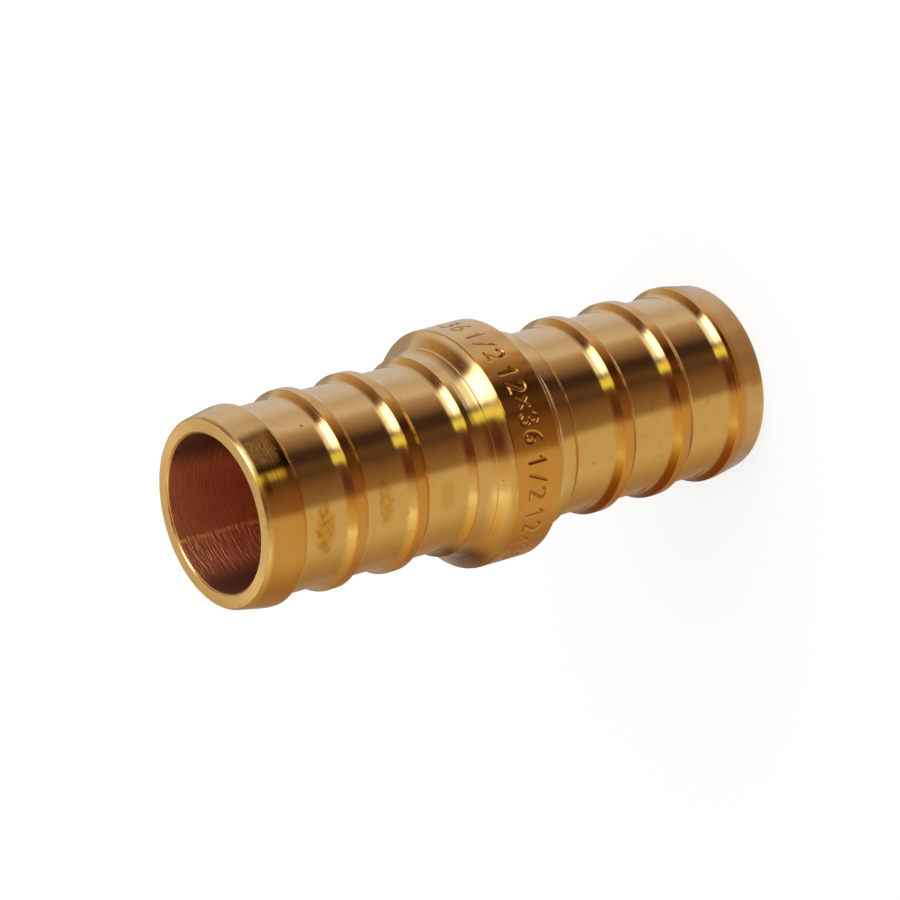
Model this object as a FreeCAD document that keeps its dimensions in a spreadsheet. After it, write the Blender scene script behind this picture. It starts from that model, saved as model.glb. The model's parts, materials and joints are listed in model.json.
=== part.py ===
import FreeCAD, Part
import os
from math import atan2, hypot, pi

import Sketcher
from FreeCAD import Vector

# A straight brass insert coupling for half-inch plastic tube, turned in one piece from bar.
# It stands on one end: the tube axis is Z, and the origin is the centre of the lower end face.
# Lengths are in millimetres. Each size stands once, here, and drives the features below.
SIZES = {
    "bore_diameter": 9.55,
    "wall_under_grooves": 0.85,
    "barb_height": 0.425,
    "nose_setback": 0.475,
    "nose_bevel_rise": 0.18,
    "nose_bevel_length": 0.3,
    "nose_cone_length": 1.6,
    "nose_land_length": 0.4,
    "grooves_per_end": 3,
    "groove_width": 3.65,
    "groove_flank_length": 0.75,
    "barb_land_length": 0.65,
    "shoulder_land_length": 0.15,
    "shoulder_fillet_length": 1.85,
    "collar_rise": 1.2,
    "collar_width": 3.2,
    "collar_edge_round": 0.12,
    "mouth_chamfer": 0.12,
}

# Radii and lengths that follow from those sizes, as the expressions that the features use.
BORE_RADIUS = "(sizes.bore_diameter / 2)"
FLOOR_RADIUS = f"({BORE_RADIUS} + sizes.wall_under_grooves)"
CREST_RADIUS = f"({FLOOR_RADIUS} + sizes.barb_height)"
FACE_RADIUS = f"({CREST_RADIUS} - sizes.nose_setback)"
COLLAR_RADIUS = f"({CREST_RADIUS} + sizes.collar_rise)"
NOSE_LENGTH = "(sizes.nose_bevel_length + sizes.nose_cone_length + sizes.nose_land_length)"
GROOVE_PITCH = "(sizes.groove_width + sizes.barb_land_length)"
BARBED_LENGTH = f"({NOSE_LENGTH} + sizes.grooves_per_end * {GROOVE_PITCH} - sizes.barb_land_length)"
SHOULDER_LENGTH = "(sizes.shoulder_land_length + sizes.shoulder_fillet_length)"
SPIGOT_LENGTH = f"({BARBED_LENGTH} + {SHOULDER_LENGTH})"
HALF_COLLAR = "(sizes.collar_width / 2)"
HALF_LENGTH = f"({SPIGOT_LENGTH} + {HALF_COLLAR})"

doc = FreeCAD.newDocument("insert_coupling")


def make_sheet():
    """One row for each size: its name, then its value with that name as the alias."""
    sheet = doc.addObject("Spreadsheet::Sheet", "sizes")
    for row, (name, value) in enumerate(SIZES.items(), start=1):
        sheet.set(f"A{row}", name)
        sheet.set(f"B{row}", str(value))
        sheet.setAlias(f"B{row}", name)
    doc.recompute()
    return sheet


def value_of(expression):
    """The number that an expression has with the sheet's present sizes."""
    return float(doc.sizes.evalExpression(expression))


def origin_feature(body, role):
    """The plane or axis of the body's own origin that has this role."""
    return next(item for item in body.Origin.OriginFeatures if item.Role == role)


def new_sketch(body, name, plane):
    """An empty sketch on one of the body's origin planes."""
    sketch = body.newObject("Sketcher::SketchObject", name)
    sketch.AttachmentSupport = [(origin_feature(body, plane), "")]
    sketch.MapMode = "FlatFace"
    return sketch


def add_line(sketch, start, end):
    """A straight edge between two points, each a radius and a height; gives its index."""
    return sketch.addGeometry(Part.LineSegment(Vector(*start, 0), Vector(*end, 0)), False)


def add_arc(sketch, centre, start, end):
    """A round edge that runs anticlockwise from start to end; gives its index."""
    radius = hypot(start[0] - centre[0], start[1] - centre[1])
    angles = [atan2(point[1] - centre[1], point[0] - centre[0]) % (2 * pi) for point in (start, end)]
    circle = Part.Circle(Vector(*centre, 0), Vector(0, 0, 1), radius)
    return sketch.addGeometry(Part.ArcOfCircle(circle, *angles), False)


def constrain(sketch, *rules):
    """Adds constraints that have no size of their own."""
    for rule in rules:
        sketch.addConstraint(Sketcher.Constraint(*rule))


def dimension(sketch, name, expression, *places):
    """Adds one named dimension and binds it to its expression."""
    index = sketch.addConstraint(Sketcher.Constraint(*places, value_of(expression)))
    sketch.renameConstraint(index, name)
    sketch.setExpression(f"Constraints.{name}", expression)


# Ends of an edge, and the sketch's own origin, as the constraints number them.
START, END, CENTRE = 1, 2, 3
ORIGIN = (-1, 1)


def across_edge(sketch, name, expression, edge):
    """Dimensions how far an edge runs outward from the axis."""
    dimension(sketch, name, expression, "DistanceX", edge, START, edge, END)


def along_edge(sketch, name, expression, edge):
    """Dimensions how far an edge climbs along the axis."""
    dimension(sketch, name, expression, "DistanceY", edge, START, edge, END)


def tangent_radius(run, rise):
    """Radius of an arc that leaves a wall tangent and climbs rise over run."""
    return (run * run + rise * rise) / (2 * rise)


def turn_blank(body):
    """Lower half of the outside: end face, bevel, cone, spigot, shoulder fillet and half the collar."""
    face = value_of(FACE_RADIUS)
    crest = value_of(CREST_RADIUS)
    collar = value_of(COLLAR_RADIUS)
    bevel = face + value_of("sizes.nose_bevel_rise")
    bottom = -value_of(HALF_LENGTH)
    bevel_top = bottom + value_of("sizes.nose_bevel_length")
    cone_top = bevel_top + value_of("sizes.nose_cone_length")
    collar_bottom = -value_of(HALF_COLLAR)
    fillet_bottom = collar_bottom - value_of("sizes.shoulder_fillet_length")
    fillet_radius = tangent_radius(collar_bottom - fillet_bottom, collar - crest)

    sketch = new_sketch(body, "outside_outline", "XZ_Plane")
    end_face = add_line(sketch, (0, bottom), (face, bottom))
    bevel_edge = add_line(sketch, (face, bottom), (bevel, bevel_top))
    cone_edge = add_line(sketch, (bevel, bevel_top), (crest, cone_top))
    spigot = add_line(sketch, (crest, cone_top), (crest, fillet_bottom))
    fillet_centre = (crest + fillet_radius, fillet_bottom)
    fillet = add_arc(sketch, fillet_centre, (collar, collar_bottom), (crest, fillet_bottom))
    collar_edge = add_line(sketch, (collar, collar_bottom), (collar, 0))
    middle = add_line(sketch, (collar, 0), (0, 0))
    axis = add_line(sketch, (0, 0), (0, bottom))

    constrain(
        sketch,
        ("Coincident", end_face, END, bevel_edge, START),
        ("Coincident", bevel_edge, END, cone_edge, START),
        ("Coincident", cone_edge, END, spigot, START),
        ("Tangent", spigot, END, fillet, END),
        ("Coincident", fillet, START, collar_edge, START),
        ("Coincident", collar_edge, END, middle, START),
        ("Coincident", middle, END, axis, START),
        ("Coincident", axis, END, end_face, START),
        ("Coincident", axis, START, *ORIGIN),
        ("Horizontal", end_face),
        ("Vertical", spigot),
        ("Vertical", collar_edge),
        ("Horizontal", middle),
        ("Vertical", axis),
    )
    across_edge(sketch, "face_radius", FACE_RADIUS, end_face)
    across_edge(sketch, "bevel_rise", "sizes.nose_bevel_rise", bevel_edge)
    along_edge(sketch, "bevel_length", "sizes.nose_bevel_length", bevel_edge)
    along_edge(sketch, "cone_length", "sizes.nose_cone_length", cone_edge)
    along_edge(sketch, "half_collar", HALF_COLLAR, collar_edge)
    up_the_fillet = ("DistanceY", fillet, END, fillet, START)
    dimension(sketch, "fillet_length", "sizes.shoulder_fillet_length", *up_the_fillet)
    dimension(sketch, "half_length", HALF_LENGTH, "DistanceY", axis, END, axis, START)
    dimension(sketch, "crest_radius", CREST_RADIUS, "DistanceX", *ORIGIN, spigot, START)
    dimension(sketch, "collar_radius", COLLAR_RADIUS, "DistanceX", *ORIGIN, collar_edge, START)

    blank = body.newObject("PartDesign::Revolution", "turned_blank")
    blank.Profile = sketch
    blank.ReferenceAxis = (sketch, ["V_Axis"])
    blank.Angle = 360
    doc.recompute()
    return blank


def cut_first_groove(body):
    """The groove behind the nose: a straight floor with a round flank up to each barb crest."""
    floor = value_of(FLOOR_RADIUS)
    crest = value_of(CREST_RADIUS)
    collar = value_of(COLLAR_RADIUS)
    flank = value_of("sizes.groove_flank_length")
    low = value_of(f"{NOSE_LENGTH} - {HALF_LENGTH}")
    high = low + value_of("sizes.groove_width")
    flank_centre = floor + tangent_radius(flank, crest - floor)

    sketch = new_sketch(body, "groove_outline", "XZ_Plane")
    floor_edge = add_line(sketch, (floor, low + flank), (floor, high - flank))
    low_flank = add_arc(sketch, (flank_centre, low + flank), (floor, low + flank), (crest, low))
    high_flank = add_arc(sketch, (flank_centre, high - flank), (crest, high), (floor, high - flank))
    low_side = add_line(sketch, (crest, low), (collar, low))
    outer_side = add_line(sketch, (collar, low), (collar, high))
    high_side = add_line(sketch, (collar, high), (crest, high))

    constrain(
        sketch,
        ("Tangent", floor_edge, START, low_flank, START),
        ("Tangent", floor_edge, END, high_flank, END),
        ("Coincident", low_flank, END, low_side, START),
        ("Coincident", low_side, END, outer_side, START),
        ("Coincident", outer_side, END, high_side, START),
        ("Coincident", high_side, END, high_flank, START),
        ("Vertical", floor_edge),
        ("Horizontal", low_side),
        ("Vertical", outer_side),
        ("Horizontal", high_side),
        ("Equal", low_flank, high_flank),
    )
    below_middle = f"{HALF_LENGTH} - {NOSE_LENGTH}"
    dimension(sketch, "floor_radius", FLOOR_RADIUS, "DistanceX", *ORIGIN, floor_edge, START)
    dimension(sketch, "crest_radius", CREST_RADIUS, "DistanceX", *ORIGIN, low_side, START)
    dimension(sketch, "outer_radius", COLLAR_RADIUS, "DistanceX", *ORIGIN, outer_side, START)
    up_the_flank = ("DistanceY", low_flank, END, low_flank, START)
    dimension(sketch, "flank_length", "sizes.groove_flank_length", *up_the_flank)
    along_edge(sketch, "groove_width", "sizes.groove_width", outer_side)
    dimension(sketch, "depth_below_middle", below_middle, "DistanceY", outer_side, START, *ORIGIN)

    groove = body.newObject("PartDesign::Groove", "first_groove")
    groove.Profile = sketch
    groove.ReferenceAxis = (sketch, ["V_Axis"])
    groove.Angle = 360
    doc.recompute()
    return groove


def repeat_groove(body, groove):
    """The other grooves of the lower end, one pitch apart towards the collar."""
    pattern = body.newObject("PartDesign::LinearPattern", "grooves")
    pattern.Originals = [groove]
    pattern.Direction = (origin_feature(body, "Z_Axis"), [""])
    pattern.Mode = "Spacing"
    pattern.setExpression("Offset", GROOVE_PITCH)
    pattern.setExpression("Occurrences", "sizes.grooves_per_end")
    body.Tip = pattern
    doc.recompute()
    return pattern


def mirror_ends(body):
    """The upper end, as a mirror image of the lower one about the middle of the collar."""
    mirror = body.newObject("PartDesign::Mirrored", "both_ends")
    mirror.TransformMode = "Whole shape"
    mirror.MirrorPlane = (origin_feature(body, "XY_Plane"), [""])
    body.Tip = mirror
    doc.recompute()
    return mirror


def drill_waterway(body):
    """The straight bore, through from end to end."""
    sketch = new_sketch(body, "bore_circle", "XY_Plane")
    circle = Part.Circle(Vector(0, 0, 0), Vector(0, 0, 1), value_of(BORE_RADIUS))
    ring = sketch.addGeometry(circle, False)
    constrain(sketch, ("Coincident", ring, CENTRE, *ORIGIN))
    dimension(sketch, "bore_diameter", "sizes.bore_diameter", "Diameter", ring)

    bore = body.newObject("PartDesign::Pocket", "waterway")
    bore.Profile = sketch
    bore.Type = "ThroughAll"
    bore.Midplane = True
    doc.recompute()
    return bore


def ring_edges(feature, radius, height):
    """Names of the round edges with this radius that lie this far above or below the middle."""
    names = []
    for number, edge in enumerate(feature.Shape.Edges, start=1):
        if not isinstance(edge.Curve, Part.Circle):
            continue
        same_radius = abs(edge.Curve.Radius - radius) < 1e-4
        same_height = abs(abs(edge.Curve.Center.z) - height) < 1e-4
        if same_radius and same_height:
            names.append(f"Edge{number}")
    return names


def chamfer_mouths(body, base):
    """A small chamfer inside each mouth of the bore."""
    chamfer = body.newObject("PartDesign::Chamfer", "mouth_chamfers")
    chamfer.Base = (base, ring_edges(base, value_of(BORE_RADIUS), value_of(HALF_LENGTH)))
    chamfer.setExpression("Size", "sizes.mouth_chamfer")
    doc.recompute()
    return chamfer


def round_collar(body, base):
    """A fine radius on both edges of the collar."""
    fillet = body.newObject("PartDesign::Fillet", "collar_edges")
    fillet.Base = (base, ring_edges(base, value_of(COLLAR_RADIUS), value_of(HALF_COLLAR)))
    fillet.setExpression("Radius", "sizes.collar_edge_round")
    doc.recompute()
    return fillet


def make_coupling_body():
    """The whole coupling: two barbed spigots either side of a collar, with one bore through all."""
    body = doc.addObject("PartDesign::Body", "coupling_body")
    body.Label = "coupling_body"
    turn_blank(body)
    groove = cut_first_groove(body)
    repeat_groove(body, groove)
    mirror_ends(body)
    bore = drill_waterway(body)
    chamfer = chamfer_mouths(body, bore)
    round_collar(body, chamfer)
    body.setExpression("Placement.Base.z", HALF_LENGTH)
    doc.recompute()
    return body


def check(bodies):
    """Stops with a message if a feature failed or a body's solid is missing or unsound."""
    for item in doc.Objects:
        if "Invalid" in item.State or "Error" in item.State:
            raise RuntimeError(f"{item.Label} did not recompute: {item.State}")
    for body in bodies:
        shape = body.Shape
        if shape.isNull() or not shape.isValid() or len(shape.Solids) != 1:
            raise RuntimeError(f"{body.Label} is not one sound solid")


make_sheet()
bodies = [make_coupling_body()]
check(bodies)
os.makedirs("parts", exist_ok=True)
for body in bodies:
    body.Shape.exportStep(f"parts/{body.Label}.step")
    box = body.Shape.optimalBoundingBox(True, False)
    print(
        f"{body.Label}: {box.XLength:.2f} x {box.YLength:.2f} x {box.ZLength:.2f} mm,"
        f" {body.Shape.Volume:.1f} mm3"
    )
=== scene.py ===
import json
import math
from types import SimpleNamespace

import bpy
import numpy as np
from mathutils import Matrix, Vector

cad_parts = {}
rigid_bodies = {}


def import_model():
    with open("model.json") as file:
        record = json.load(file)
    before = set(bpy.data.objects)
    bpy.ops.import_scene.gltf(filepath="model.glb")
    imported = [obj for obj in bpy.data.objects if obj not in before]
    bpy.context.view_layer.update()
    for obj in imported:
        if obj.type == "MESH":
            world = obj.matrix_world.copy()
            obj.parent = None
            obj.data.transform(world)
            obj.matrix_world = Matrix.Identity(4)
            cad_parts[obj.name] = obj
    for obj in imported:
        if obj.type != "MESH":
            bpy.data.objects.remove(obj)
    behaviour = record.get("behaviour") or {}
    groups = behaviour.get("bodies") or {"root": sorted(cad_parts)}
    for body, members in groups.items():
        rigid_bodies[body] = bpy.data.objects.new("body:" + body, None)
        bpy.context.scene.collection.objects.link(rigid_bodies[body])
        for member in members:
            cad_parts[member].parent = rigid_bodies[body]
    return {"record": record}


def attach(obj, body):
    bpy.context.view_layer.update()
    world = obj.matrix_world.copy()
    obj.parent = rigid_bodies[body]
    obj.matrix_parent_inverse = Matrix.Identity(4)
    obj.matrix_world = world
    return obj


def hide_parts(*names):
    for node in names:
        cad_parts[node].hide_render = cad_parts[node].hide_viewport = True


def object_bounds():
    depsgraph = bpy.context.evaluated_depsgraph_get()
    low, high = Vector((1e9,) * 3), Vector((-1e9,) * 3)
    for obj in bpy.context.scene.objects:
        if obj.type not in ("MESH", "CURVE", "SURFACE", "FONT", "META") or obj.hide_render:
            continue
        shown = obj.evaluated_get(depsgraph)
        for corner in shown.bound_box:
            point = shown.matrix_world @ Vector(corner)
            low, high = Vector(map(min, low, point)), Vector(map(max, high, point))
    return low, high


# A brass insert coupling, turned in one piece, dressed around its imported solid.
# It stands on one end with the tube axis along Z. Sizes are in millimetres up to the mesh.
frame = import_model()
cadLow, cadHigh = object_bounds()
mm = 0.001
mounts = {mount["name"]: mount for mount in frame["record"]["mounts"]}
print("frame loaded:", [round(v / mm, 2) for v in cadHigh - cadLow], "mm")


# The turned outline

coupling = {
    "length": (cadHigh.z - cadLow.z) / mm,
    "collarRadius": (cadHigh.x - cadLow.x) / 2 / mm,
    "crestRadius": mounts["upper_tube_end"]["dims"]["r_mm"],
    "boreRadius": mounts["waterway"]["dims"]["r_mm"],
    "mouthChamfer": 0.12,
    "mouthRound": 0.03,
    "noseSetback": 0.475,           # how far the end face stops short of the barb radius
    "faceRound": 0.04,
    "bevelRise": 0.18,
    "bevelLength": 0.3,
    "bevelBulge": (0.13, 0.07),     # the bevel is rounded out towards this, outward and along
    "coneLength": 1.6,
    "coneRound": 0.5,               # where the cone runs out into the first land
    "noseLand": 0.4,
    "grooves": 3,
    "grooveDepth": 0.425,
    "grooveWidth": 3.65,
    "wallLength": 0.75,             # the hollow curve on each side of a groove
    "wallSteps": 7,
    "footLineStart": 0.1,           # the fine line the tool left just before the foot of a flank
    "footLineBottom": 0.04,
    "footLineDepth": 0.006,
    "barbLand": 0.65,
    "edgeRound": 0.06,              # worn radius on each barb edge
    "shoulderLand": 0.15,
    "shoulderFillet": 1.85,
    "filletSteps": 24,
    "toolStep": 0.011,              # depth of the steps the form tool left under the collar
    "toolStepsEnd": 1,              # how far up the fillet they fade out
    "toolStepTurn": 9,              # how fast they follow each other, in radians a millimetre
    "toolMark": 1.1,                # how far up the fillet its one deeper line is
    "toolMarkSearch": 0.08,         # the line follows the first point this close below it
    "toolMarkSides": (0.03, 0.045),     # from that point to the line's bottom and its raised edge
    "toolMarkDepth": 0.004,
    "collarRound": 0.09,
    "edgeWear": 0.012,              # depth of the dips along the collar's handled edge
    "edgeReach": 0.06,              # how far in from the collar's radius they go
    "dipWaves": 9,                  # how many sine waves make them
    "dipsRound": (5, 60),           # fewest and most crests of a wave
    "dipShare": 4,                  # the waves' sum is divided by this, and cut off at 1
    "dipSeeds": (7, 8),             # lower half, upper half
    "segments": 210,
    "mouthRings": (0.02, 0.06),     # rings of the bore's mesh, from each mouth inward
    "innerRings": 12,
    "innerRingsFrom": 0.5,
}


def hollowRise(start, end, steps):
    # points on an arc that leaves the wall along the axis and climbs outward to the end
    run = abs(end[1] - start[1])
    rise = end[0] - start[0]
    radius = (run * run + rise * rise) / (2 * rise)
    way = math.copysign(1, end[1] - start[1])
    points = []
    for step in range(1, steps + 1):
        along = run * step / steps
        outward = radius - math.sqrt(radius * radius - along * along)
        points.append((start[0] + outward, start[1] + way * along))
    return points


def noseOutline(c):
    # mouth chamfer, end face, rounded bevel, lead-in cone and the start of the first land
    face = c["crestRadius"] - c["noseSetback"]
    outward, upward = c["bevelBulge"]
    points = [
        (c["boreRadius"], c["mouthChamfer"], c["mouthRound"]),
        (c["boreRadius"] + c["mouthChamfer"], 0, c["mouthRound"]),
        (face, 0, c["faceRound"]),
    ]
    for t in (0.2, 0.4, 0.6, 0.8, 1):
        r = face + 2 * t * (1 - t) * outward + t * t * c["bevelRise"]
        z = 2 * t * (1 - t) * upward + t * t * c["bevelLength"]
        points.append((r, z, 0))
    points.append((c["crestRadius"], c["bevelLength"] + c["coneLength"], c["coneRound"]))
    return points


def grooveOutline(c, start):
    # a hollow wall down, a straight floor, a fine tool line, and a hollow flank up to the next barb
    crest = c["crestRadius"]
    floor = crest - c["grooveDepth"]
    wallFoot = start + c["wallLength"]
    end = start + c["grooveWidth"]
    flankFoot = end - c["wallLength"]
    wall = hollowRise((floor, wallFoot), (crest, start), c["wallSteps"])
    flank = hollowRise((floor, flankFoot), (crest, end), c["wallSteps"])
    points = [(crest, start, c["edgeRound"])]
    points += [(r, z, 0) for r, z in wall[-2::-1]]
    points += [(floor, wallFoot, 0), (floor, flankFoot - c["footLineStart"], 0)]
    points.append((floor - c["footLineDepth"], flankFoot - c["footLineBottom"], 0))
    points += [(r, z, 0) for r, z in flank[:-1]]
    points.append((crest, end, c["edgeRound"]))
    return points


def shoulderOutline(c, start):
    # the stop for the tube, then a hollow fillet with faint tool steps, up to the collar edge
    base = start + c["shoulderLand"]
    top = (c["collarRadius"], base + c["shoulderFillet"])
    bottomAt, edgeAt = c["toolMarkSides"]
    points = []
    for r, z in hollowRise((c["crestRadius"], base), top, c["filletSteps"]):
        up = z - base
        fading = max(0, 1 - up / c["toolStepsEnd"])
        step = c["toolStep"] * fading * abs(math.sin(up * c["toolStepTurn"]))
        points.append((r - step, z, 0))
        if 0 < c["toolMark"] - up < c["toolMarkSearch"]:
            points.append((r - c["toolMarkDepth"], z + bottomAt, 0))
            points.append((r + c["toolMarkDepth"], z + edgeAt, 0))
    points[-1] = (*top, c["collarRound"])
    return points


def roundCorner(before, corner, after, radius):
    # a few points that take the sharpness off one corner of the outline
    before, corner, after = (np.array(p[:2], float) for p in (before, corner, after))
    inward, outward = before - corner, after - corner
    reach = radius * 0.8            # how far along each side the rounding starts
    mostShare = 0.45                # of the way to the next point
    a = corner + inward * min(mostShare, reach / np.linalg.norm(inward))
    b = corner + outward * min(mostShare, reach / np.linalg.norm(outward))
    steps = (0, 0.25, 0.5, 0.75, 1)
    return [tuple((1 - t) ** 2 * a + 2 * t * (1 - t) * corner + t * t * b) for t in steps]


def halfOutline(c, m):
    # the outside from the lower mouth up to the band of figures round the collar
    points = noseOutline(c)
    start = c["bevelLength"] + c["coneLength"] + c["noseLand"]
    for _ in range(c["grooves"]):
        points += grooveOutline(c, start)
        start += c["grooveWidth"] + c["barbLand"]
    points += shoulderOutline(c, start - c["barbLand"])
    points.append((c["collarRadius"], c["length"] / 2 - m["bandHalfWidth"] - m["bandMargin"], 0))
    soft = [points[0][:2]]
    for before, corner, after in zip(points, points[1:], points[2:]):
        soft += roundCorner(before, corner, after, corner[2]) if corner[2] else [corner[:2]]
    return soft + [points[-1][:2]]


def addHoldingRings(points, gap=0.03, longest=0.3):
    # a ring close to each end of a long straight stretch keeps its shading flat
    held = [points[0]]
    for a, b in zip(points, points[1:]):
        span = math.dist(a, b)
        if span > longest:
            for share in (gap / span, 1 - gap / span):
                held.append(tuple(p + (q - p) * share for p, q in zip(a, b)))
        held.append(b)
    return held


# The figures rolled into the collar: barb diameter by length, and the nominal size in inches

marking = {
    "text": "12x36 1/2 ",
    "repeats": 5,
    "height": 1.16,
    "width": 0.6,               # in figure heights
    "blank": 0.35,              # width of a blank, in figures
    "firstAngle": 32.1,         # degrees round from the front
    "aboveMiddle": 0.1,
    "strokeHalfWidth": 0.115,
    "depth": 0.07,
    "evenForce": 0.82,          # share of the depth that every figure has
    "sideForce": 0.18,          # added where the roll pressed hardest, taken off opposite
    "hardestAngle": 20,
    "figureForce": 0.1,         # how much it differs from figure to figure
    "figureTurn": 2.4,
    "bandHalfWidth": 0.84,
    "bandMargin": 0.04,         # from the band's fine mesh to the next ring
    "rows": 40,
    "finer": 4,                 # fine columns to each column of the rest of the mesh
}


def arcStroke(centreX, centreY, radiusX, radiusY, first, last, steps=14):
    turns = np.radians(np.linspace(first, last, steps))
    return list(zip(centreX + radiusX * np.cos(turns), centreY + radiusY * np.sin(turns)))


# Each figure is strokes on a grid one high and 0.6 wide, from its foot at the left.
figureStrokes = {
    "1": [[(0.12, 0.74), (0.34, 1.0), (0.34, 0.0)]],
    "2": [arcStroke(0.3, 0.74, 0.25, 0.26, 165, -35) + [(0.06, 0.0), (0.56, 0.0)]],
    "3": [arcStroke(0.28, 0.77, 0.22, 0.23, 150, -90), arcStroke(0.28, 0.27, 0.26, 0.27, 90, -150)],
    "6": [arcStroke(0.3, 0.28, 0.25, 0.28, 0, 360, 20), arcStroke(0.62, 0.3, 0.57, 0.7, 180, 105)],
    "x": [[(0.08, 0.2), (0.54, 0.76)], [(0.08, 0.76), (0.54, 0.2)]],
    "/": [[(0.08, -0.02), (0.54, 1.02)]],
}


def strokeDistance(u, v, strokes):
    # distance from each point to the nearest stroke of one figure
    nearest = np.full(u.shape, np.inf)
    for stroke in strokes:
        for (ax, ay), (bx, by) in zip(stroke, stroke[1:]):
            dx, dy = bx - ax, by - ay
            t = np.clip(((u - ax) * dx + (v - ay) * dy) / (dx * dx + dy * dy), 0, 1)
            nearest = np.minimum(nearest, np.hypot(u - ax - t * dx, v - ay - t * dy))
    return nearest


def figureDepth(angle, number, m):
    # how deep one figure was pressed
    side = m["sideForce"] * math.cos(math.radians(angle - m["hardestAngle"]))
    return m["depth"] * (m["evenForce"] + side + m["figureForce"] * math.sin(number * m["figureTurn"]))


def stampDepth(angles, heights, c, m):
    # how far the surface is pressed in at each angle (degrees) and height above the middle
    text = m["text"] * m["repeats"]
    widths = [m["blank"] if figure == " " else 1.0 for figure in text]
    pitch = 360 / sum(widths)
    arc = math.radians(1) * c["collarRadius"]
    margin = (pitch * arc / m["height"] - m["width"]) / 2
    pressed = np.zeros(angles.shape)
    left = m["firstAngle"]
    for number, (figure, width) in enumerate(zip(text, widths)):
        if figure != " ":
            around = (left - angles + 180) % 360 - 180
            u = around * arc / m["height"] - margin
            v = (m["aboveMiddle"] - heights) / m["height"] + 0.5
            near = np.abs(u - m["width"] / 2) < m["width"]
            away = strokeDistance(u[near], v[near], figureStrokes[figure]) * m["height"]
            hollow = np.clip(1 - (away / m["strokeHalfWidth"]) ** 2, 0, 1)
            pressed[near] += figureDepth(left, number, m) * hollow
        left -= pitch * width
    return pressed


# The mesh

def addMesh(name, points, faces):
    # a new mesh object in the scene, from points in metres
    mesh = bpy.data.meshes.new(name)
    mesh.from_pydata(points, [], faces)
    mesh.update()
    thing = bpy.data.objects.new(name, mesh)
    bpy.context.scene.collection.objects.link(thing)
    return thing


def ringPoints(radius, height, count):
    # a level ring from the front round; the radius is one number, or one for each point
    turns = np.arange(count) * 2 * math.pi / count
    return np.column_stack([radius * np.sin(turns), -radius * np.cos(turns), np.full(count, height)])


def turnedRing(radius, height, count, c, seed):
    # a plain ring; on the collar's edge it dips by a hundredth here and there, as a handled edge does
    points = ringPoints(radius, height, count)
    if radius > c["collarRadius"] - c["edgeReach"]:
        turns = np.arange(count) * 2 * math.pi / count
        dice = np.random.default_rng(seed)
        dips = 0
        for _ in range(c["dipWaves"]):
            dips = dips + np.sin(turns * dice.integers(*c["dipsRound"]) + dice.uniform(0, 6.3))
        worn = c["edgeWear"] / radius * np.clip(dips / c["dipShare"], 0, 1)
        points[:, :2] *= (1 - worn)[:, None]
    return points


def stampedRing(height, count, c, m):
    angles = np.arange(count) * 360 / count
    radius = c["collarRadius"] - stampDepth(angles, np.full(count, height), c, m)
    return ringPoints(radius, c["length"] / 2 + height, count)


def boreRings(top, bottom, c):
    # down the bore, with rings close together at its two mouths
    inner = np.linspace(top - c["innerRingsFrom"], bottom + c["innerRingsFrom"], c["innerRings"])
    heights = [top - inset for inset in c["mouthRings"]]
    heights += [*inner] + [bottom + inset for inset in c["mouthRings"][::-1]]
    return [ringPoints(c["boreRadius"], height, c["segments"]) for height in heights]


def joinRings(a, countA, b, countB, finer=1):
    # the faces between two rings; where one is finer, each coarse edge meets several fine ones
    if countA == countB:
        here = np.arange(countA)
        there = (here + 1) % countA
        return np.column_stack([a + here, a + there, b + there, b + here]).tolist()
    coarse, fine, flip = (a, b, False) if countA < countB else (b, a, True)
    count = min(countA, countB)
    faces = []
    for k in range(count):
        face = [coarse + k, coarse + (k + 1) % count]
        face += [fine + ((k + 1) * finer - j) % (count * finer) for j in range(finer + 1)]
        faces.append(face[::-1] if flip else face)
    return faces


def buildBody(c, m):
    # the lower fillet was cut clean, the upper one keeps the marks of the tool
    lower = addHoldingRings(halfOutline({**c, "toolStep": 0, "toolMarkDepth": 0}, m))
    upper = [(r, c["length"] - z) for r, z in addHoldingRings(halfOutline(c, m))[::-1]]
    count = c["segments"]
    lowerSeed, upperSeed = c["dipSeeds"]
    rings = [turnedRing(r, z, count, c, lowerSeed) for r, z in lower]
    for height in np.linspace(-m["bandHalfWidth"], m["bandHalfWidth"], m["rows"]):
        rings.append(stampedRing(height, count * m["finer"], c, m))
    rings += [turnedRing(r, z, count, c, upperSeed) for r, z in upper]
    rings += boreRings(upper[-1][1], lower[0][1], c)

    starts = np.cumsum([0] + [len(ring) for ring in rings])
    faces = []
    for index, ring in enumerate(rings):
        following = (index + 1) % len(rings)
        faces += joinRings(starts[index], len(ring), starts[following], len(rings[following]), m["finer"])
    body = addMesh("turnedBody", (np.vstack(rings) * mm).tolist(), faces)
    body.data.polygons.foreach_set("use_smooth", np.ones(len(faces), bool))
    return body


turnedBody = buildBody(coupling, marking)
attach(turnedBody, "root")
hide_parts("coupling_body")
print("turned body:", len(turnedBody.data.polygons), "faces")


# Brass. Four angles or heights are where a film begins, is full, begins to fade and ends.
# Angles are degrees round from the front, and heights and lengths are millimetres.

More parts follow.
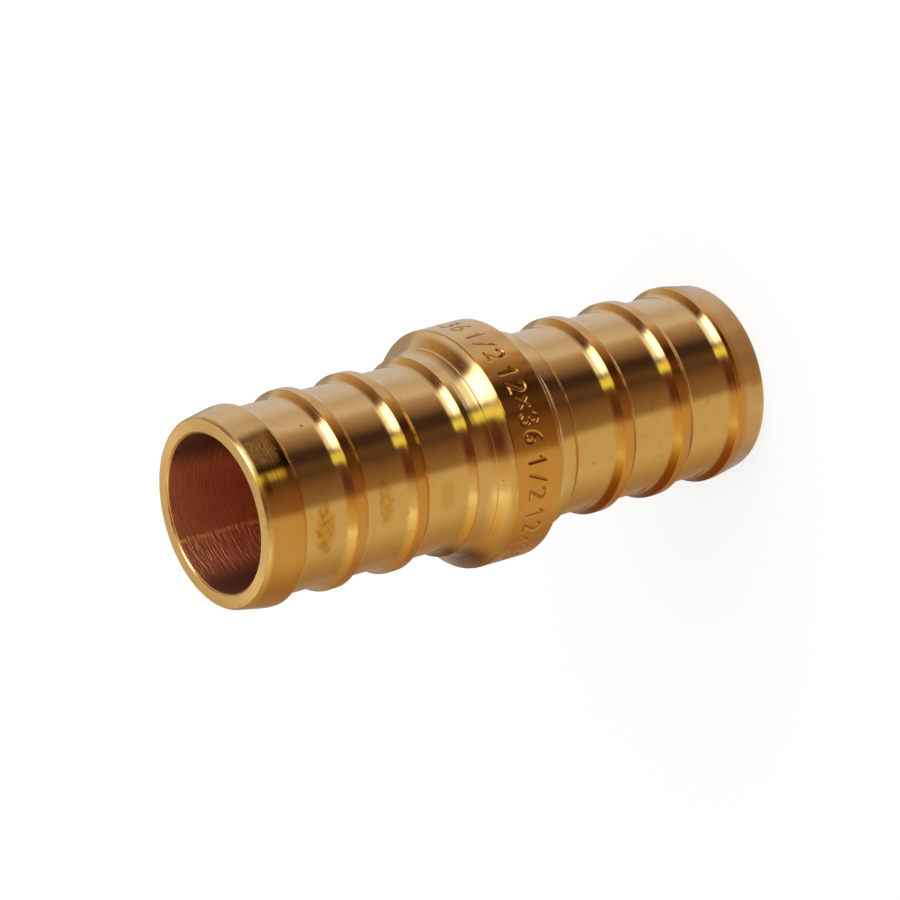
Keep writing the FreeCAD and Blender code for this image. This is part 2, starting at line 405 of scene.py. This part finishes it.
brass = {
    "fresh": (0.87, 0.61, 0.27),            # groove floors, cut last
    "skin": (0.80, 0.43, 0.12),             # nose, lands and collar
    "noseSkin": 0.85,                       # how much of the skin the upper end has kept
    "lowerNoseSkin": 0.3,
    "bareBand": (1.6, 1.7, 3.45, 3.6),      # from the middle, where the skin was cut away
    "rubbedAngles": (30, 55, 100, 140),
    "rubbedShare": 0.7,
    "faceColour": (0.90, 0.63, 0.25),
    "faceDark": (0.80, 0.52, 0.19),
    "boreColour": (1.0, 0.52, 0.34),        # redder brass, painted reflection: it deepens the red of the bore's own reflections
    # the bore darkened towards its sides: painted shade
    "boreDark": (0.30, 0.17, 0.13),
    "boreDarkAngles": (34, 60, 84, 102),    # degrees from the back, both ways
    "scratched": (0.95, 0.66, 0.30),
    "mottled": (0.45, 0.2, 0.06),
    "mottledShare": 0.2,
    "clouded": (0.95, 0.7, 0.36),
    "cloudedShare": 0.12,
    "amber": (0.80, 0.45, 0.09),            # thin stains, and the painted reflection on the lower groove walls
    "brown": (0.40, 0.17, 0.05),            # thick ones, and dirt in the figures
    "figureDirt": 0.7,
    "pitColour": (0.12, 0.05, 0.02),
    "amberAngles": (-66, -48, -22, -8),     # painted reflection of a shaded table, on the groove walls of the lower half
    "amberShare": 0.85,
    # painted reflection of the table's shade, dark red, further round the lower groove walls
    "tarnishColour": (0.32, 0.095, 0.02),
    "tarnishAngles": (-130, -90, -56, -22),
    "tarnishShare": 0.95,
    "smoked": (0.10, 0.04, 0.015),          # a dark film on the upper nose
    "smokedShare": 0.9,
    "smokedAngles": (12, 16, 37, 45),
    "smokedRing": (17.3, 17.45, 17.65, 17.8),   # from the middle, thinner and further round
    "smokedRingAngles": (-2, 5, 20, 30),
    "smokedRingShare": 0.6,
    # painted shade from a table in contact, on one side of the upper fillet and shoulder
    "grimeColour": (0.20, 0.07, 0.02),
    "grimeHeights": (19.2, 20.2, 21.7, 23.6),
    "grimeAngles": (-118, -98, -84, -66),
    "grimeShare": 0.9,
    "roughness": 0.12,
    "roughnessSwing": 0.12,                 # from one turning mark to the next
    "anisotropy": 0.55,
    "faceRoughness": 0.42,
    "bevelRoughness": 0.22,
    "boreRoughness": 0.62,
    "scoreRoughness": 0.75,
    "turningDepth": 0.008,
    "feedShare": 2.0,                       # depth of the wider waves, in turning marks
    "lowerNosePolish": 0.75,                # how much of both was rubbed away there
    "scoreLength": 1.1,                     # the short scores the drill left in the bore
    "scoreGap": 0.2,
    "scoreDepth": 0.1,
    "scoredAngles": (-48, -36, -14, -9),    # degrees round from the back, where they are deepest
    "scoredElsewhere": 0.4,
    "longScoreAngles": (-15.5, -13.2, -12.2, -10),
}

# Where each part of the surface starts and is full, in millimetres past the edge that bounds it.
softEdges = {
    "upperHalf": (0, 1),
    "lowerHalf": (-3, -2),
    "land": (-0.1, -0.02),
    "nose": (-0.02, 0.02),
    "bevel": (-0.1, 0.1),
    "wallFoot": (0.01, 0.11),
    "wallTop": (-0.04, 0),
    "collar": (0.7, 0.8),
    "bore": (0.01, 0.03),
    "face": (-0.02, -0.008),
    "figures": (-0.1, 0),
    "unpressed": (-0.055, -0.02),
}

# Noises: patches to a metre, or across, across and along the axis, then detail and roughness.
# Turning marks run round the axis, so they are long round it, and 0.19 mm apart along it.
grain = {
    "marks": ((300, 300, 1000 / 0.19), 3.0, 0.6),
    "feed": ((40, 40, 1400), 2.0, 0.5),
    "face": (1.0, 3.0, 0.6),
    "mottle": (1500, 4.0, 0.65),
    "cloud": (160, 3.0, 0.5),
    "scores": (1.0, 2.0, 0.6),
    "patches": (2600, 3.0, 0.6),
    "cuts": ((4200, 4200, 7000), 1.0, 0.5),
}
facePatches = {"outward": 9000.0, "round": 0.02}    # to a metre, to a degree

# From where to where a noise comes to show, or a spot fades out from its middle.
shows = {
    "face": (0.3, 0.7),
    "mottle": (0.5, 0.75),
    "cloud": (0.35, 0.7),
    "scratches": (0.56, 0.68),
    "longScore": (0.2, 0.5),
    "patches": (0.42, 0.66),
    "cuts": (0.56, 0.66),
    "stain": (0.55, 1.25),
    "pit": (0.4, 1.0),
    "ding": (0.4, 1.1),
}

# Stains and small pits: degrees round from the front, height, reach round and along the axis.
stains = [
    {"angle": -28, "height": 32.3, "round": 1.6, "along": 0.7, "amber": 0.9, "brown": 0.55},
    {"angle": -21, "height": 28.0, "round": 1.3, "along": 0.5, "amber": 0.7, "brown": 0.35},
    {"angle": -28, "height": 23.6, "round": 1.0, "along": 0.6, "amber": 0.5, "brown": 0.1},
    {"angle": -21, "height": 30.55, "round": 1.1, "along": 0.3, "amber": 0.8, "brown": 0.1},
    {"angle": 30, "height": 35.1, "round": 1.1, "along": 1.05, "amber": 0.1, "brown": 0.75},
    {"angle": 118, "height": 9.0, "round": 1.4, "along": 0.6, "amber": 0.6, "brown": 0.3},
    {"angle": 205, "height": 28.2, "round": 1.1, "along": 0.7, "amber": 0.6, "brown": 0.3},
]
stainRaggedness = 1.6           # how far the mottle pushes a stain's edge in and out
pits = [
    {"angle": 39, "height": 31.64, "size": 0.12, "dark": 0.8},
    {"angle": -50, "height": 34.2, "size": 0.08, "dark": 0.5},
    {"angle": -24, "height": 20.3, "size": 0.06, "dark": 0.5},
    {"angle": -31, "height": 26.5, "size": 0.12, "dark": 0.35},
    {"angle": -34, "height": 12.95, "size": 0.15, "dark": 0.3},
    {"angle": 150, "height": 12.4, "size": 0.1, "dark": 0.6},
    {"angle": 250, "height": 6.1, "size": 0.1, "dark": 0.6},
]
dings = {"angle": 27, "height": 34.75, "round": 0.6, "along": 0.5, "depth": 0.035}


class Nodes:
    # short ways to add and join shader nodes
    def __init__(self, tree):
        self.tree = tree
        tree.nodes.clear()

    def add(self, kind, **values):
        node = self.tree.nodes.new(kind)
        for name, value in values.items():
            setattr(node, name, value)
        return node

    def link(self, source, target):
        self.tree.links.new(source, target)

    def feed(self, socket, value):
        if isinstance(value, bpy.types.NodeSocket):
            self.link(value, socket)
        else:
            socket.default_value = value

    def math(self, operation, *inputs, clamp=False):
        node = self.add("ShaderNodeMath", operation=operation, use_clamp=clamp)
        for socket, value in zip(node.inputs, inputs):
            self.feed(socket, value)
        return node.outputs[0]

    def times(self, first, *others):
        for other in others:
            first = self.math("MULTIPLY", first, other)
        return first

    def rest(self, share):
        # what a share leaves of the whole
        return self.math("SUBTRACT", 1.0, share)

    def distance(self, x, y):
        squares = self.math("ADD", self.math("MULTIPLY", x, x), self.math("MULTIPLY", y, y))
        return self.math("SQRT", squares)

    def degreesRound(self, x, y):
        # round the axis from the front, which faces -Y
        return self.math("DEGREES", self.math("ARCTAN2", x, self.math("MULTIPLY", y, -1.0)))

    def between(self, value, low, high):
        # 0 below low, 1 above high, smooth from one to the other
        node = self.add("ShaderNodeMapRange", interpolation_type="SMOOTHSTEP")
        self.feed(node.inputs["Value"], value)
        node.inputs["From Min"].default_value = low
        node.inputs["From Max"].default_value = high
        return node.outputs["Result"]

    def window(self, value, start, full, fade, end):
        # rises from 0 at start to 1 at full, and falls again from fade to end
        rising = self.between(value, start, full)
        falling = self.between(value, fade, end)
        return self.math("SUBTRACT", rising, falling, clamp=True)

    def mix(self, share, first, second):
        node = self.add("ShaderNodeMix", data_type="RGBA")
        self.feed(node.inputs[0], share)
        for socket, value in ((node.inputs[6], first), (node.inputs[7], second)):
            self.feed(socket, value if isinstance(value, bpy.types.NodeSocket) else (*value, 1))
        return node.outputs[2]

    def noise(self, vector, scale, detail, rough):
        # with three scales it is longer one way than another
        if isinstance(scale, tuple):
            vector, scale = self.stretch(vector, scale), 1.0
        node = self.add("ShaderNodeTexNoise")
        self.feed(node.inputs["Vector"], vector)
        node.inputs["Scale"].default_value = scale
        node.inputs["Detail"].default_value = detail
        node.inputs["Roughness"].default_value = rough
        return node.outputs["Fac"]

    def stretch(self, vector, scale):
        node = self.add("ShaderNodeMapping")
        self.feed(node.inputs["Vector"], vector)
        node.inputs["Scale"].default_value = scale
        return node.outputs["Vector"]

    def split(self, vector):
        node = self.add("ShaderNodeSeparateXYZ")
        self.link(vector, node.inputs[0])
        return node.outputs

    def pair(self, x, y):
        node = self.add("ShaderNodeCombineXYZ")
        self.link(x, node.inputs[0])
        self.link(y, node.inputs[1])
        return node.outputs[0]

    def ramp(self, value, stops):
        node = self.add("ShaderNodeValToRGB")
        self.feed(node.inputs[0], value)
        elements = node.color_ramp.elements
        while len(elements) < len(stops):
            elements.new(0.5)
        for element, (place, colour) in zip(elements, stops):
            element.position = place
            element.color = (*colour, 1)
        return node.outputs["Color"]


def newMaterial(name):
    material = bpy.data.materials.new(name)
    material.use_nodes = True
    return material, Nodes(material.node_tree)


def inMetres(lengths):
    return [length * mm for length in lengths]


def inRadians(turns):
    return [math.radians(turn) for turn in turns]


def pastEdge(n, value, edge, part):
    # 0 before an edge and 1 past it, as softly as the part that it bounds begins
    return n.between(value, *inMetres(edge + step for step in softEdges[part]))


def findPlace(n, c):
    # where a point of the surface is, in metres, degrees from the front or radians from the back
    place = n.add("ShaderNodeTexCoord").outputs["Object"]
    x, y, z = n.split(place)
    return SimpleNamespace(
        place=place,
        z=z,
        fromMiddle=n.math("ABSOLUTE", n.math("SUBTRACT", z, c["length"] / 2 * mm)),
        radius=n.distance(x, y),
        around=n.degreesRound(x, y),
        back=n.math("ARCTAN2", x, y),
    )


def findParts(n, at, b, c, m):
    # which part of the coupling the point is on, each from 0, not on it, to 1
    crest = c["crestRadius"]
    middle = c["length"] / 2
    noseStart = middle - (c["bevelLength"] + c["coneLength"] + c["noseLand"])
    upperHalf = pastEdge(n, at.z, middle, "upperHalf")
    land = pastEdge(n, at.radius, crest, "land")
    land = n.math("SUBTRACT", land, n.window(at.fromMiddle, *inMetres(b["bareBand"])))
    nose = pastEdge(n, at.fromMiddle, noseStart, "nose")
    bevel = pastEdge(n, at.fromMiddle, middle - c["bevelLength"], "bevel")
    keptMore = n.times(upperHalf, b["noseSkin"] - b["lowerNoseSkin"])
    noseSkin = n.times(nose, n.math("ADD", keptMore, b["lowerNoseSkin"]))
    skin = n.math("SUBTRACT", n.math("MAXIMUM", land, noseSkin), bevel, clamp=True)
    rubbed = n.window(at.around, *b["rubbedAngles"])
    wall = pastEdge(n, at.radius, crest - c["grooveDepth"], "wallFoot")
    wall = n.math("SUBTRACT", wall, pastEdge(n, at.radius, crest, "wallTop"))
    collar = pastEdge(n, at.radius, crest, "collar")
    figures = n.math("SUBTRACT", collar, pastEdge(n, at.fromMiddle, m["bandHalfWidth"], "figures"))
    unpressed = pastEdge(n, at.radius, c["collarRadius"], "unpressed")
    outside = pastEdge(n, at.radius, c["boreRadius"], "bore")
    return SimpleNamespace(
        upperHalf=upperHalf,
        lowerHalf=n.rest(pastEdge(n, at.z, middle, "lowerHalf")),
        nose=nose,
        bevel=bevel,
        skin=n.times(skin, n.rest(n.times(rubbed, b["rubbedShare"]))),
        wall=n.math("SUBTRACT", wall, nose, clamp=True),
        outside=outside,
        bore=n.rest(outside),
        face=pastEdge(n, at.fromMiddle, middle, "face"),
        pressed=n.math("SUBTRACT", figures, unpressed),
    )


def boreScores(n, at, on, b, c):
    # short scores in the bore, laid out on the bore unrolled from the back, and one long one
    roundBore = n.times(at.back, c["boreRadius"] / b["scoreLength"])
    alongBore = n.math("DIVIDE", at.z, b["scoreGap"] * mm)
    scores = n.noise(n.pair(roundBore, alongBore), *grain["scores"])
    scored = n.window(at.back, *inRadians(b["scoredAngles"]))
    short = n.times(n.between(scores, *shows["scratches"]), scored)
    longScore = n.window(at.back, *inRadians(b["longScoreAngles"]))
    longScore = n.times(longScore, n.between(scores, *shows["longScore"]))
    scratches = n.times(n.math("MAXIMUM", short, longScore), on.bore)
    elsewhere = b["scoredElsewhere"]
    deepest = n.math("ADD", n.times(scored, 1 - elsewhere), elsewhere)
    return SimpleNamespace(
        scratches=scratches,
        rough=n.math("ADD", scratches, n.times(longScore, on.bore)),
        relief=n.times(scores, deepest, on.bore, b["scoreDepth"] * mm),
    )


def spotDistance(n, at, radius, spot):
    # 0 at the middle of a spot, 1 at its edge, measured over the surface
    turn = n.math("WRAP", n.math("SUBTRACT", at.around, spot["angle"]), 180.0, -180.0)
    across = n.times(turn, math.radians(1) * radius / spot["round"])
    along = n.math("DIVIDE", n.math("SUBTRACT", at.z, spot["height"] * mm), spot["along"] * mm)
    return n.distance(across, along)


def addFilms(n, colour, at, on, b):
    # painted reflection of a shaded table on the lower groove walls, amber and dark red, smoke on the
    # upper nose, and painted shade above the collar
    lowerWall = n.times(on.wall, on.lowerHalf)
    # painted reflection: amber and dark red on the lower groove walls, where they would mirror a shaded
    # table
    amber = n.times(lowerWall, n.window(at.around, *b["amberAngles"]))
    colour = n.mix(n.times(amber, b["amberShare"]), colour, b["amber"])
    mirroredTableShade = n.times(lowerWall, n.window(at.around, *b["tarnishAngles"]))
    colour = n.mix(n.times(mirroredTableShade, b["tarnishShare"]), colour, b["tarnishColour"])
    upperNose = n.times(n.math("SUBTRACT", on.nose, on.bevel, clamp=True), on.upperHalf)
    ring = n.window(at.fromMiddle, *inMetres(b["smokedRing"]))
    ring = n.times(ring, n.window(at.around, *b["smokedRingAngles"]), b["smokedRingShare"])
    smoke = n.math("MAXIMUM", ring, n.window(at.around, *b["smokedAngles"]))
    colour = n.mix(n.times(upperNose, smoke, b["smokedShare"]), colour, b["smoked"])
    # painted shade on one side above the collar
    contactShade = n.times(n.window(at.z, *inMetres(b["grimeHeights"])), on.outside)
    contactShade = n.times(contactShade, n.window(at.around, *b["grimeAngles"]), b["grimeShare"])
    return n.mix(contactShade, colour, b["grimeColour"])


def addSpots(n, colour, at, on, mottle, radius, b):
    # stains with ragged edges, amber with brown patches in them, and small dark pits
    ragged = n.times(n.math("SUBTRACT", mottle, 0.5), stainRaggedness)
    patches = n.between(n.noise(at.place, *grain["patches"]), *shows["patches"])
    for stain in stains:
        away = n.math("ADD", spotDistance(n, at, radius, stain), ragged)
        inside = n.times(n.rest(n.between(away, *shows["stain"])), on.outside)
        colour = n.mix(n.times(inside, stain["amber"]), colour, b["amber"])
        colour = n.mix(n.times(inside, patches, stain["brown"]), colour, b["brown"])
    for pit in pits:
        spot = {**pit, "round": pit["size"], "along": pit["size"]}
        inside = n.rest(n.between(spotDistance(n, at, radius, spot), *shows["pit"]))
        colour = n.mix(n.times(inside, on.outside, pit["dark"]), colour, b["pitColour"])
    return colour


def brassColour(n, at, on, faceMarks, scores, b, c):
    colour = n.mix(on.skin, b["fresh"], b["skin"])
    face = n.mix(n.between(faceMarks, *shows["face"]), b["faceColour"], b["faceDark"])
    colour = n.mix(on.face, colour, face)
    # painted reflection and shade in the bore: redder brass, darker towards its sides
    dark = n.window(n.math("ABSOLUTE", at.back), *inRadians(b["boreDarkAngles"]))
    colour = n.mix(on.bore, colour, n.mix(dark, b["boreColour"], b["boreDark"]))
    colour = n.mix(scores.scratches, colour, b["scratched"])
    mottle = n.noise(at.place, *grain["mottle"])
    mottled = n.between(mottle, *shows["mottle"])
    colour = n.mix(n.times(mottled, b["mottledShare"]), colour, b["mottled"])
    clouded = n.between(n.noise(at.place, *grain["cloud"]), *shows["cloud"])
    colour = n.mix(n.times(clouded, b["cloudedShare"]), colour, b["clouded"])
    colour = addFilms(n, colour, at, on, b)
    dirt = n.math("MULTIPLY", on.pressed, b["figureDirt"], clamp=True)
    colour = n.mix(dirt, colour, b["brown"])
    return addSpots(n, colour, at, on, mottle, c["crestRadius"] - c["grooveDepth"], b)


def brassRoughness(n, on, marks, scores, b):
    swing = n.times(n.math("SUBTRACT", marks, 0.5), b["roughnessSwing"])
    rough = n.math("ADD", b["roughness"], swing)
    for part, name in ((on.face, "face"), (on.bore, "bore"), (on.bevel, "bevel")):
        rough = n.math("ADD", rough, n.times(part, b[name + "Roughness"] - b["roughness"]))
    scored = n.times(scores.rough, b["scoreRoughness"] - b["boreRoughness"])
    return n.math("ADD", rough, scored, clamp=True)


def brassRelief(n, at, on, marks, faceMarks, scores, b, c):
    # turning marks and the tool's feed, rings on the end faces, cuts in the dings, scores in the bore
    feed = n.noise(at.place, *grain["feed"])
    relief = n.math("ADD", marks, n.times(feed, b["feedShare"]))
    lowerNose = n.math("SUBTRACT", on.nose, on.upperHalf, clamp=True)
    relief = n.times(relief, n.rest(n.times(lowerNose, b["lowerNosePolish"])))
    relief = n.math("ADD", relief, n.times(faceMarks, on.face))
    relief = n.times(relief, b["turningDepth"] * mm)
    dinged = n.rest(n.between(spotDistance(n, at, c["crestRadius"], dings), *shows["ding"]))
    cuts = n.between(n.noise(at.place, *grain["cuts"]), *shows["cuts"])
    relief = n.math("SUBTRACT", relief, n.times(cuts, dinged, dings["depth"] * mm))
    return n.math("ADD", relief, scores.relief)


def makeBrass(b, c, m):
    material, n = newMaterial("turnedBrass")
    at = findPlace(n, c)
    on = findParts(n, at, b, c, m)
    marks = n.noise(at.place, *grain["marks"])
    outward = n.times(at.radius, facePatches["outward"])
    faceMarks = n.noise(n.pair(outward, n.times(at.around, facePatches["round"])), *grain["face"])
    scores = boreScores(n, at, on, b, c)

    bump = n.add("ShaderNodeBump")
    bump.inputs["Strength"].default_value = 1.0
    bump.inputs["Distance"].default_value = 1.0
    n.link(brassRelief(n, at, on, marks, faceMarks, scores, b, c), bump.inputs["Height"])
    tangent = n.add("ShaderNodeTangent", direction_type="RADIAL", axis="Z")
    shader = n.add("ShaderNodeBsdfPrincipled")
    shader.inputs["Metallic"].default_value = 1.0
    shader.inputs["Anisotropic"].default_value = b["anisotropy"]
    n.link(brassColour(n, at, on, faceMarks, scores, b, c), shader.inputs["Base Color"])
    n.link(brassRoughness(n, on, marks, scores, b), shader.inputs["Roughness"])
    n.link(bump.outputs[0], shader.inputs["Normal"])
    n.link(tangent.outputs[0], shader.inputs["Tangent"])
    out = n.add("ShaderNodeOutputMaterial")
    n.link(shader.outputs[0], out.inputs["Surface"])
    return material


turnedBody.data.materials.append(makeBrass(brass, coupling, marking))
print("brass made")


# Studio: a pale floor, a soft key lamp, and a pale room that the metal mirrors, darker in front
# where the camera stands, with a warm softbox up to the right. Lengths are in metres.

studio = {
    "floorSize": 3.0,
    "floorShade": 0.22,             # share of the floor's white that light and shadow act on
    "keyDirection": (0.55, -0.45, 0.9),
    "keyDistance": 0.5,
    "keySize": 0.45,
    "keyPower": 1.2,
    "roomLight": 0.8,
    "viewElevation": 33.16,
    "awayTilts": (-38, -29),        # degrees that a surface leans up, where the cards blend
    "highTilts": (12, 32, 47, 60),
    "endTilts": (62, 78),
    "endGlow": (0.68, 0.64, 0.58),  # what the end faces show
    "softboxAngles": (17, 22.5, 32.5, 37.5),
    "softboxTilts": (23, 35, 64, 72),
    "softboxColour": (3.2, 3.2, 3.104),
    "haloAngles": (16.5, 21.5, 33, 39.5),
    "haloTilts": (4, 18, 64, 72),
    "haloColour": (1.08, 1.03, 0.95),
    "rimAngles": (8.2, 11, 13.2, 17.5),
    "rimTilts": (4, 18, 64, 72),
    "rimColour": (1.02, 0.96, 0.20),
    "softboxMiddle": 24.5,
    "edgeSpread": 0.12,             # how much wider edges that face well up show the softbox
    "edgeTilts": (43, 57),
    "nearbyRing": (0.0052, 0.0082),
    "nearbyHeight": 0.00001,
    "nearbySpread": 1.17,           # the cone throws its mirrored rays a little further round
    "nearbySegments": 96,
}

# The room is laid out by where the upright metal shows it to the camera, in degrees round from
# the front. First what walls show that stand straight up.
lowCards = [
    (-90, (0.40, 0.34, 0.30)),
    (-86, (0.36, 0.25, 0.16)),
    (-75, (0.40, 0.27, 0.17)),
    (-65, (0.37, 0.235, 0.125)),
    (-55, (0.44, 0.30, 0.13)),
    (-40, (0.61, 0.49, 0.28)),          # the table behind
    (-14, (0.61, 0.48, 0.27)),
    (-10.5, (0.29, 0.175, 0.08)),       # the dark front of the room begins
    (0, (0.21, 0.11, 0.05)),
    (7, (0.095, 0.05, 0.028)),
    (12, (0.12, 0.07, 0.038)),
    (16, (0.055, 0.03, 0.024)),
    (21.5, (0.05, 0.028, 0.024)),
    (27, (0.23, 0.14, 0.09)),
    (35, (0.45, 0.33, 0.24)),
    (40, (0.68, 0.62, 0.60)),           # the pale backdrop
    (50, (0.55, 0.48, 0.47)),
    (61, (0.66, 0.65, 0.76)),
    (86, (0.60, 0.58, 0.60)),
    (90, (0.40, 0.34, 0.30)),
]

# What flanks show that lean up towards the camera.
highCards = [
    (-90, (0.40, 0.34, 0.30)),
    (-84, (0.40, 0.26, 0.15)),
    (-66, (0.45, 0.27, 0.10)),
    (-57, (0.54, 0.34, 0.115)),
    (-47, (0.70, 0.50, 0.20)),
    (-38, (0.82, 0.72, 0.34)),          # the lit edge of the table
    (-32, (0.98, 0.90, 0.62)),
    (-28, (0.70, 0.58, 0.34)),
    (-15, (0.57, 0.38, 0.17)),
    (-11, (0.27, 0.11, 0.05)),
    (-7, (0.115, 0.028, 0.014)),
    (6, (0.105, 0.03, 0.014)),
    (40, (0.10, 0.04, 0.02)),
    (48, (0.18, 0.08, 0.03)),
    (54, (0.29, 0.165, 0.08)),
    (62, (0.40, 0.24, 0.10)),
    (75, (0.50, 0.37, 0.22)),
    (86, (0.60, 0.58, 0.60)),
    (90, (0.40, 0.34, 0.30)),
]

# And what edges show that lean well away.
awayCards = [
    (-90, (0.24, 0.17, 0.11)),
    (-45, (0.44, 0.30, 0.14)),
    (-14, (0.44, 0.30, 0.13)),
    (-8, (0.32, 0.22, 0.13)),
    (4, (0.20, 0.12, 0.07)),
    (8, (0.36, 0.24, 0.12)),
    (12, (0.64, 0.47, 0.26)),
    (20, (0.46, 0.35, 0.26)),
    (28, (0.36, 0.27, 0.22)),
    (40, (0.44, 0.35, 0.28)),
    (60, (0.55, 0.50, 0.45)),
    (90, (0.34, 0.28, 0.22)),
]

# The lower end's cone mirrors the floor close by, which is pale; a glowing ring, seen only in
# reflections, stands in for it.
nearbyCards = [
    (-90, (0.40, 0.34, 0.30)),
    (-65, (0.41, 0.35, 0.36)),
    (-55, (0.41, 0.34, 0.31)),
    (-45, (0.54, 0.41, 0.30)),
    (-25, (0.61, 0.51, 0.41)),
    (-14, (0.56, 0.45, 0.34)),
    (-9, (0.38, 0.25, 0.145)),
    (4, (0.28, 0.19, 0.13)),
    (20, (0.38, 0.26, 0.19)),
    (24, (0.47, 0.35, 0.30)),
    (33, (0.49, 0.38, 0.37)),
    (40, (0.57, 0.51, 0.54)),
    (60, (0.59, 0.57, 0.66)),
    (90, (0.40, 0.34, 0.30)),
]


def blendCards(n, around, cards, spread=1):
    # the colour of a row of cards, each running into the next
    share = n.math("ADD", n.math("DIVIDE", around, 180.0 * spread), 0.5)
    return n.ramp(share, [(angle / 180 + 0.5, colour) for angle, colour in cards])


def mirroringSurface(n, s):
    # the surface that mirrors a direction to the camera: degrees round, and degrees that it leans up
    direction = n.add("ShaderNodeTexCoord").outputs["Generated"]
    rise = math.radians(s["viewElevation"])
    lean = n.add("ShaderNodeVectorMath", operation="SUBTRACT")
    n.link(direction, lean.inputs[0])
    lean.inputs[1].default_value = (0, math.cos(rise), -math.sin(rise))
    half = n.add("ShaderNodeVectorMath", operation="NORMALIZE")
    n.link(lean.outputs[0], half.inputs[0])
    x, y, z = n.split(half.outputs[0])
    return n.degreesRound(x, y), n.math("DEGREES", n.math("ARCSINE", z))


def makeRoom(s):
    world = bpy.data.worlds.new("room")
    bpy.context.scene.world = world
    world.use_nodes = True
    n = Nodes(world.node_tree)
    around, tilt = mirroringSurface(n, s)
    away, low, high = (blendCards(n, around, cards) for cards in (awayCards, lowCards, highCards))
    cards = n.mix(n.between(tilt, *s["awayTilts"]), away, low)
    cards = n.mix(n.window(tilt, *s["highTilts"]), cards, high)
    cards = n.mix(n.between(tilt, *s["endTilts"]), cards, s["endGlow"])

    # over them the softbox with its soft halo, and its gold rim
    narrower = n.rest(n.times(n.between(tilt, *s["edgeTilts"]), s["edgeSpread"]))
    around = n.times(n.math("SUBTRACT", around, s["softboxMiddle"]), narrower)
    around = n.math("ADD", around, s["softboxMiddle"])
    for part in ("halo", "rim", "softbox"):
        lit = n.times(n.window(around, *s[part + "Angles"]), n.window(tilt, *s[part + "Tilts"]))
        cards = n.mix(lit, cards, s[part + "Colour"])

    path = n.add("ShaderNodeLightPath")
    seen = n.mix(path.outputs["Is Glossy Ray"], (s["roomLight"],) * 3, cards)
    seen = n.mix(path.outputs["Is Camera Ray"], seen, (1, 1, 1))
    background = n.add("ShaderNodeBackground")
    n.link(seen, background.inputs["Color"])
    out = n.add("ShaderNodeOutputWorld")
    n.link(background.outputs[0], out.inputs["Surface"])


def makeNearbyCard(s):
    # a glowing ring on the floor, seen only in reflections, so close in that little but the cone of the
    # lower end mirrors it
    count = s["nearbySegments"]
    inner, outer = (ringPoints(radius, s["nearbyHeight"], count) for radius in s["nearbyRing"])
    card = addMesh("nearbyCard", np.vstack([inner, outer]).tolist(), joinRings(0, count, count, count))
    card.visible_camera = False
    card.visible_diffuse = False
    card.visible_shadow = False
    material, n = newMaterial("paleCard")
    x, y, _ = n.split(n.add("ShaderNodeTexCoord").outputs["Object"])
    glow = n.add("ShaderNodeEmission")
    shades = blendCards(n, n.degreesRound(x, y), nearbyCards, s["nearbySpread"])
    n.link(shades, glow.inputs["Color"])
    out = n.add("ShaderNodeOutputMaterial")
    n.link(glow.outputs[0], out.inputs["Surface"])
    card.data.materials.append(material)


def makeFloor(s):
    half = s["floorSize"] / 2
    corners = [(-half, -half, 0), (half, -half, 0), (half, half, 0), (-half, half, 0)]
    floor = addMesh("floor", corners, [(0, 1, 2, 3)])
    floor.visible_glossy = False
    material, n = newMaterial("paleFloor")
    shade = s["floorShade"]
    paint = n.add("ShaderNodeBsdfDiffuse")
    paint.inputs["Color"].default_value = (shade, shade, shade, 1)
    glow = n.add("ShaderNodeEmission")
    path = n.add("ShaderNodeLightPath")
    n.link(n.times(path.outputs["Is Camera Ray"], 1.0 - shade), glow.inputs["Strength"])
    both = n.add("ShaderNodeAddShader")
    n.link(paint.outputs[0], both.inputs[0])
    n.link(glow.outputs[0], both.inputs[1])
    out = n.add("ShaderNodeOutputMaterial")
    n.link(both.outputs[0], out.inputs["Surface"])
    floor.data.materials.append(material)


def makeKeyLamp(s):
    lamp = bpy.data.lights.new("keyLamp", "AREA")
    lamp.shape = "SQUARE"
    lamp.size = s["keySize"]
    lamp.energy = s["keyPower"]
    holder = bpy.data.objects.new("keyLamp", lamp)
    bpy.context.scene.collection.objects.link(holder)
    way = Vector(s["keyDirection"]).normalized()
    holder.location = cadLow.lerp(cadHigh, 0.5) + way * s["keyDistance"]
    holder.rotation_mode = "QUATERNION"
    holder.rotation_quaternion = way.to_track_quat("Z", "Y")
    holder.visible_glossy = False


makeRoom(studio)
makeFloor(studio)
makeNearbyCard(studio)
makeKeyLamp(studio)
print("studio made")


# Camera, turned on its side so that the coupling lies across the picture with its open end nearest

cameraSet = {
    "lens": 229.7,
    "elevation": studio["viewElevation"],
    "roll": -105.6,
    "distance": 0.3399,
    "aim": (-0.0001, 0, 0.0194),
    "clip": (0.01, 10),
}


def makeCamera(s):
    data = bpy.data.cameras.new("camera")
    data.lens = s["lens"]
    data.clip_start, data.clip_end = s["clip"]
    camera = bpy.data.objects.new("camera", data)
    bpy.context.scene.collection.objects.link(camera)
    up = math.radians(s["elevation"])
    back = Vector((0, -math.cos(up), math.sin(up)))
    camera.location = Vector(s["aim"]) + back * s["distance"]
    level = back.to_track_quat("Z", "Y").to_matrix()
    roll = Matrix.Rotation(math.radians(s["roll"]), 3, "Z")
    camera.rotation_mode = "QUATERNION"
    camera.rotation_quaternion = (level @ roll).to_quaternion()
    bpy.context.scene.camera = camera


makeCamera(cameraSet)
bpy.context.scene.view_settings.view_transform = "Standard"
print("camera set")

bpy.context.view_layer.update()
